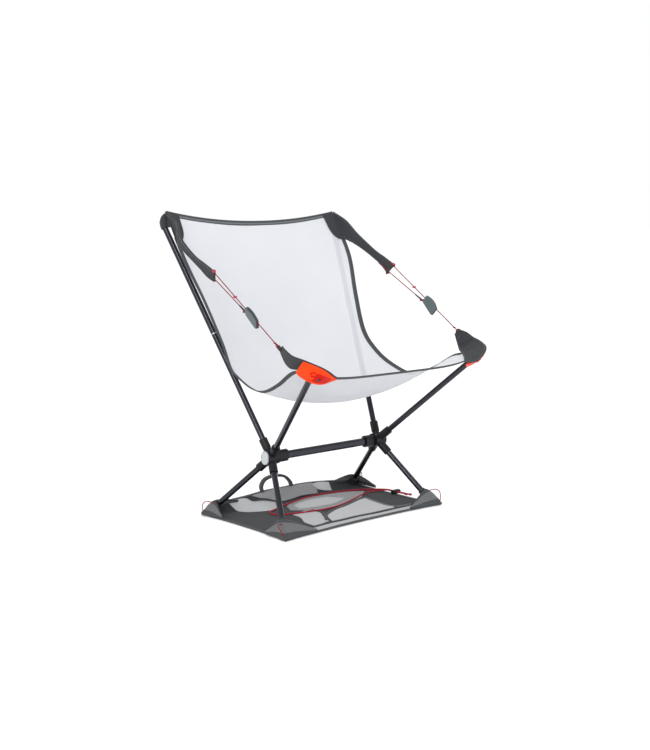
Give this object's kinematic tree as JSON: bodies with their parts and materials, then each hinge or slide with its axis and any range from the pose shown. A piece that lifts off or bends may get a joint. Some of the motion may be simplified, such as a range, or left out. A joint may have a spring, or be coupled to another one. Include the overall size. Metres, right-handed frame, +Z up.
{
  "type": "backpacking chair",
  "caption": "Low packable chair: four poles and four legs in two hubs, a sling seat with side tension cords, and a ground sheet.",
  "frame": {"origin": "on the floor, midway between the two hubs and under their common axis", "axes": "+Z up, the chair faces -Y, +X to the right seen from the front with the chair's back behind"},
  "size_m": [0.5304, 0.4863, 0.6423],
  "materials": {
    "pole": "satin black anodised",
    "hub_plastic": "moulded black nylon",
    "cap_plastic": "pale grey moulded cap",
    "steel": "plain steel",
    "foot_rubber": "matt black",
    "orange_plastic": "moulded orange-red",
    "mesh": "open monofilament mesh",
    "edge_tape": "woven grey binding",
    "patch_fabric": "charcoal coated fabric",
    "shock_cord": "braided elastic",
    "red_cord": "braided polyester cord",
    "red_bead": "red bead",
    "adjuster_plastic": "grey-green moulded",
    "sheet_fabric": "ripstop, dark and light grey panels",
    "pocket_mesh": "grey mesh with binding",
    "loop_cord": "thin cord",
    "webbing": "woven webbing",
    "bungee": "red elastic cord",
    "lock_plastic": "black acetal"
  },
  "bodies": {
    "frame": {"crossbar": "pole", "hub_left": "hub_plastic", "hub_right": "hub_plastic", "hub_cap_left": "cap_plastic", "hub_cap_right": "cap_plastic", "hub_pins": "steel", "front_leg_left": "pole", "front_leg_right": "pole", "rear_leg_left": "pole", "rear_leg_right": "pole", "front_foot_left": "foot_rubber", "front_foot_right": "foot_rubber", "rear_foot_left": "foot_rubber", "rear_foot_right": "foot_rubber", "front_pole_left": "pole", "front_pole_right": "pole", "front_ball_left": "hub_plastic", "front_ball_right": "hub_plastic", "front_socket_left": "orange_plastic", "front_socket_right": "orange_plastic", "seat_panel": "mesh", "front_hem": "edge_tape", "front_patch_left": "patch_fabric", "front_patch_right": "patch_fabric", "shock_cords_base": "shock_cord"},
    "backrest": {"knuckle_left": "hub_plastic", "knuckle_right": "hub_plastic", "rear_pole_lower_left": "pole", "rear_pole_lower_right": "pole", "rear_pole_upper_left": "pole", "rear_pole_upper_right": "pole", "rear_ferrules": "steel", "rear_tip_left": "cap_plastic", "rear_tip_right": "cap_plastic", "rear_pocket_left": "patch_fabric", "rear_pocket_right": "patch_fabric", "back_panel": "mesh", "top_hem": "edge_tape", "rear_patch_left": "patch_fabric", "rear_patch_right": "patch_fabric", "side_wing_left": "patch_fabric", "side_wing_right": "patch_fabric", "shock_cords_rear": "shock_cord"},
    "cord_left": {"main_cord_left": "red_cord", "stop_bead_left": "red_bead"},
    "cord_right": {"main_cord_right": "red_cord", "stop_bead_right": "red_bead"},
    "adjuster_left": {"adjuster_left": "adjuster_plastic", "return_cord_left": "red_cord"},
    "adjuster_right": {"adjuster_right": "adjuster_plastic", "return_cord_right": "red_cord"},
    "sheet": {"ground_sheet": "sheet_fabric", "corner_pockets": "pocket_mesh", "tie_loops": "loop_cord", "carry_handle": "webbing", "bungee": "bungee"},
    "cord_lock": {"cord_lock_body": "lock_plastic", "lock_spring": "steel"},
    "lock_button": {"cord_lock_button": "lock_plastic"}
  },
  "joints": [
    {"name": "recline", "type": "hinge", "parent": "frame", "child": "backrest", "pos_m": [0, 0, 0.137], "axis": [-1, 0, 0], "range_deg": [-6, 3.5]},
    {"name": "cord_swing_left", "type": "hinge", "parent": "frame", "child": "cord_left", "pos_m": [-0.257, -0.146, 0.382], "axis": [-1, 0, 0], "range_deg": [-6.56, 3.87]},
    {"name": "adjuster_slide_left", "type": "slide", "parent": "cord_left", "child": "adjuster_left", "axis": [0, 0.8237, 0.5671], "range_m": [-0.0601, 0.03527]},
    {"name": "cord_swing_right", "type": "hinge", "parent": "frame", "child": "cord_right", "pos_m": [0.257, -0.146, 0.382], "axis": [-1, 0, 0], "range_deg": [-6.56, 3.87]},
    {"name": "adjuster_slide_right", "type": "slide", "parent": "cord_right", "child": "adjuster_right", "axis": [0, 0.8237, 0.5671], "range_m": [-0.0601, 0.03527]},
    {"name": "sheet_pull_off", "type": "slide", "parent": "frame", "child": "sheet", "axis": [0, 0, -1], "range_m": [0, 0.05], "deforming": ["corner_pockets"]},
    {"name": "cord_lock_slide", "type": "slide", "parent": "sheet", "child": "cord_lock", "axis": [0, -1, 0], "range_m": [-0.014, 0.022]},
    {"name": "lock_button_press", "type": "slide", "parent": "cord_lock", "child": "lock_button", "axis": [-1, 0, 0], "range_m": [0, 0.002], "stiffness_N_per_m": 300, "springref_m": -0.002, "deforming": ["lock_spring"]}
  ],
  "couplings": [
    {"joint": "cord_swing_left", "follows": "recline", "ratio": 1.0773},
    {"joint": "adjuster_slide_left", "follows": "recline", "m_per_rad": 0.56918},
    {"joint": "cord_swing_right", "follows": "recline", "ratio": 1.0773},
    {"joint": "adjuster_slide_right", "follows": "recline", "m_per_rad": 0.56918}
  ]
}
